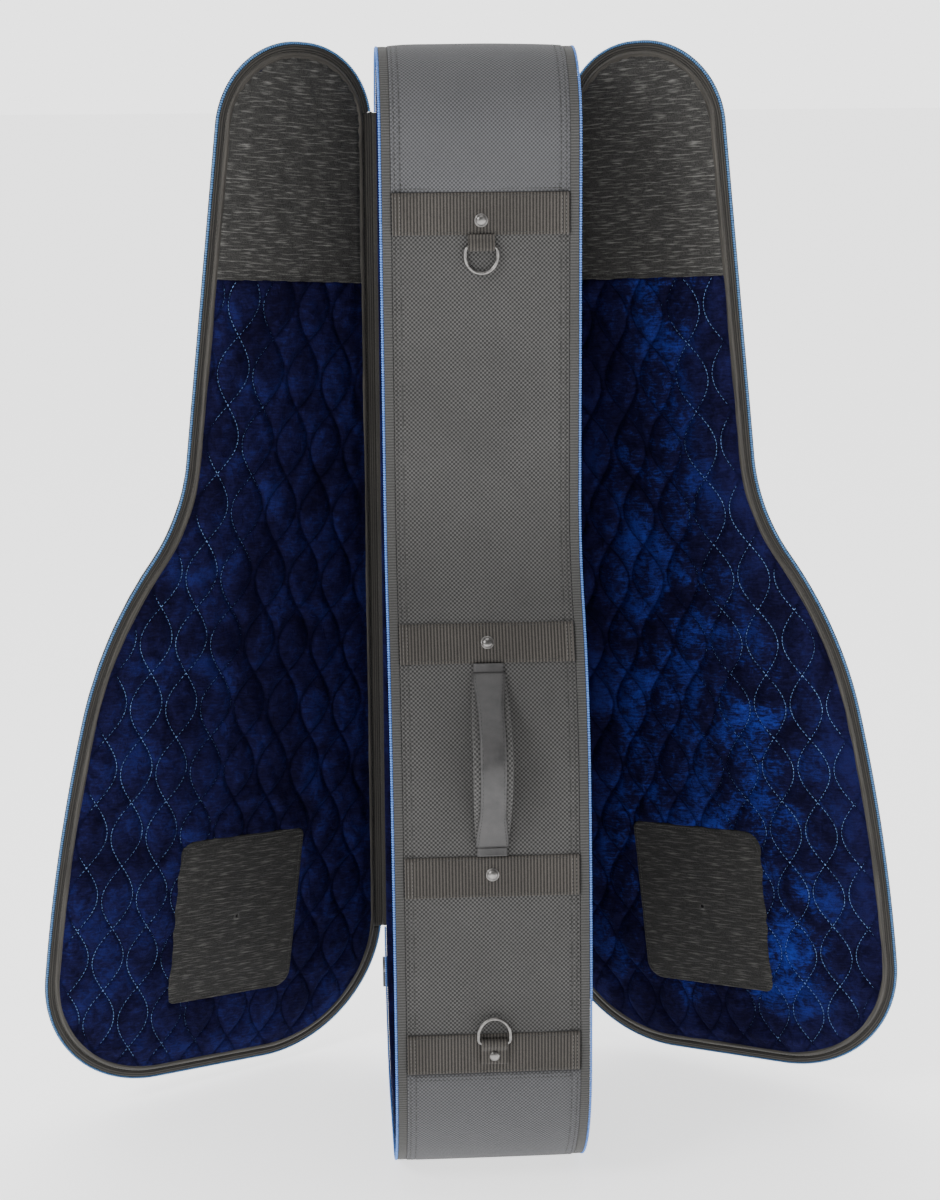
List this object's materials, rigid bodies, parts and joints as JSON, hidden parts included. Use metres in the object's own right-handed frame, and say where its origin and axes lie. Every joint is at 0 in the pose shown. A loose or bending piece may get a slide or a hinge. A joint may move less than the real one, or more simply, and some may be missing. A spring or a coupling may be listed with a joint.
{
  "type": "double gig bag",
  "caption": "Padded upright gig bag for two guitars: a deep rim with a handle and D rings, and a hinged, zipped, velvet-lined lid on each face.",
  "frame": {"origin": "on the tail cap's underside, in the middle of the rim's depth, under the middle of the neck end and the body", "axes": "+Z from the tail to the head, -Y out of the handle side, +X to the right-hand lid as seen from the handle side"},
  "size_m": [0.8742, 0.4314, 1.0751],
  "materials": {
    "ballistic_nylon": "matte",
    "cap_twill": "matte",
    "grosgrain": "matte",
    "gunmetal": "satin",
    "leather": "satin",
    "foam": "matte",
    "velvet": "matte",
    "heather": "matte",
    "binding": "matte",
    "zip_tape": "matte",
    "coil": "satin"
  },
  "bodies": {
    "rim": {"divider_board": "foam", "divider_lining_left": "velvet", "divider_lining_right": "velvet", "handle_grip": "leather", "handle_pad": "ballistic_nylon", "handle_side_panel": "ballistic_nylon", "handle_tab_lower": "leather", "handle_tab_upper": "leather", "head_cap": "cap_twill", "hinge_side_panel": "ballistic_nylon", "neck_cradle_left": "velvet", "neck_cradle_right": "velvet", "rim_foam": "foam", "rim_lining": "velvet", "rim_zip_coil_left": "coil", "rim_zip_coil_right": "coil", "rim_zip_tape_left": "zip_tape", "rim_zip_tape_right": "zip_tape", "ring_tab_lower": "leather", "ring_tab_upper": "leather", "rivet_1": "gunmetal", "rivet_2": "gunmetal", "rivet_3": "gunmetal", "rivet_4": "gunmetal", "tail_cap": "cap_twill", "webbing_band_1": "grosgrain", "webbing_band_2": "grosgrain", "webbing_band_3": "grosgrain", "webbing_band_4": "grosgrain"},
    "lid_left": {"bridge_patch_left": "heather", "head_patch_left": "heather", "hinge_cloth_left": "ballistic_nylon", "lid_binding_left": "binding", "lid_foam_left": "foam", "lid_lining_left": "velvet", "lid_shell_left": "ballistic_nylon", "lid_zip_coil_left": "coil", "lid_zip_tape_left": "zip_tape"},
    "slider_left": {"zip_slider_left": "gunmetal"},
    "pull_left": {"zip_pull_left": "gunmetal"},
    "strap_left": {"neck_strap_left": "grosgrain"},
    "lid_right": {"bridge_patch_right": "heather", "head_patch_right": "heather", "hinge_cloth_right": "ballistic_nylon", "lid_binding_right": "binding", "lid_foam_right": "foam", "lid_lining_right": "velvet", "lid_shell_right": "ballistic_nylon", "lid_zip_coil_right": "coil", "lid_zip_tape_right": "zip_tape"},
    "slider_right": {"zip_slider_right": "gunmetal"},
    "pull_right": {"zip_pull_right": "gunmetal"},
    "strap_right": {"neck_strap_right": "grosgrain"},
    "ring_upper": {"d_ring_upper": "gunmetal"},
    "ring_lower": {"d_ring_lower": "gunmetal"}
  },
  "joints": [
    {"name": "lid_left_hinge", "type": "hinge", "parent": "rim", "child": "lid_left", "pos_m": [-0.0925, 0.19672, 0.15358], "axis": [0, 0.1376, -0.9905], "range_deg": [-60.4, 110]},
    {"name": "lid_right_hinge", "type": "hinge", "parent": "rim", "child": "lid_right", "pos_m": [0.0925, 0.19672, 0.15358], "axis": [0, -0.1376, 0.9905], "range_deg": [-57, 110]},
    {"name": "slider_left_run", "type": "hinge", "parent": "rim", "child": "slider_left", "pos_m": [-0.0903, 0.063, 0.135], "axis": [-1, 0, 0], "range_deg": [-13, 25]},
    {"name": "slider_right_run", "type": "hinge", "parent": "rim", "child": "slider_right", "pos_m": [0.0903, 0.063, 0.135], "axis": [-1, 0, 0], "range_deg": [-13, 25]},
    {"name": "pull_left_swing", "type": "hinge", "parent": "slider_left", "child": "pull_left", "pos_m": [-0.0903, 0.19637, 0.09143], "axis": [1, 0, 0], "range_deg": [-8, 110]},
    {"name": "pull_right_swing", "type": "hinge", "parent": "slider_right", "child": "pull_right", "pos_m": [0.0903, 0.19637, 0.09143], "axis": [1, 0, 0], "range_deg": [-8, 110]},
    {"name": "strap_left_flap", "type": "hinge", "parent": "rim", "child": "strap_left", "pos_m": [-0.0709, -0.02491, 0.702], "axis": [0, 0, 1], "range_deg": [0, 150]},
    {"name": "strap_right_flap", "type": "hinge", "parent": "rim", "child": "strap_right", "pos_m": [0.0709, -0.02491, 0.702], "axis": [0, 0, -1], "range_deg": [0, 150]},
    {"name": "ring_upper_swing", "type": "hinge", "parent": "rim", "child": "ring_upper", "pos_m": [0, -0.09315, 0.89], "axis": [-1, 0, 0], "range_deg": [-3, 120]},
    {"name": "ring_lower_swing", "type": "hinge", "parent": "rim", "child": "ring_lower", "pos_m": [0, -0.20396, 0.1681], "axis": [1, 0, 0], "range_deg": [-3, 120]}
  ]
}
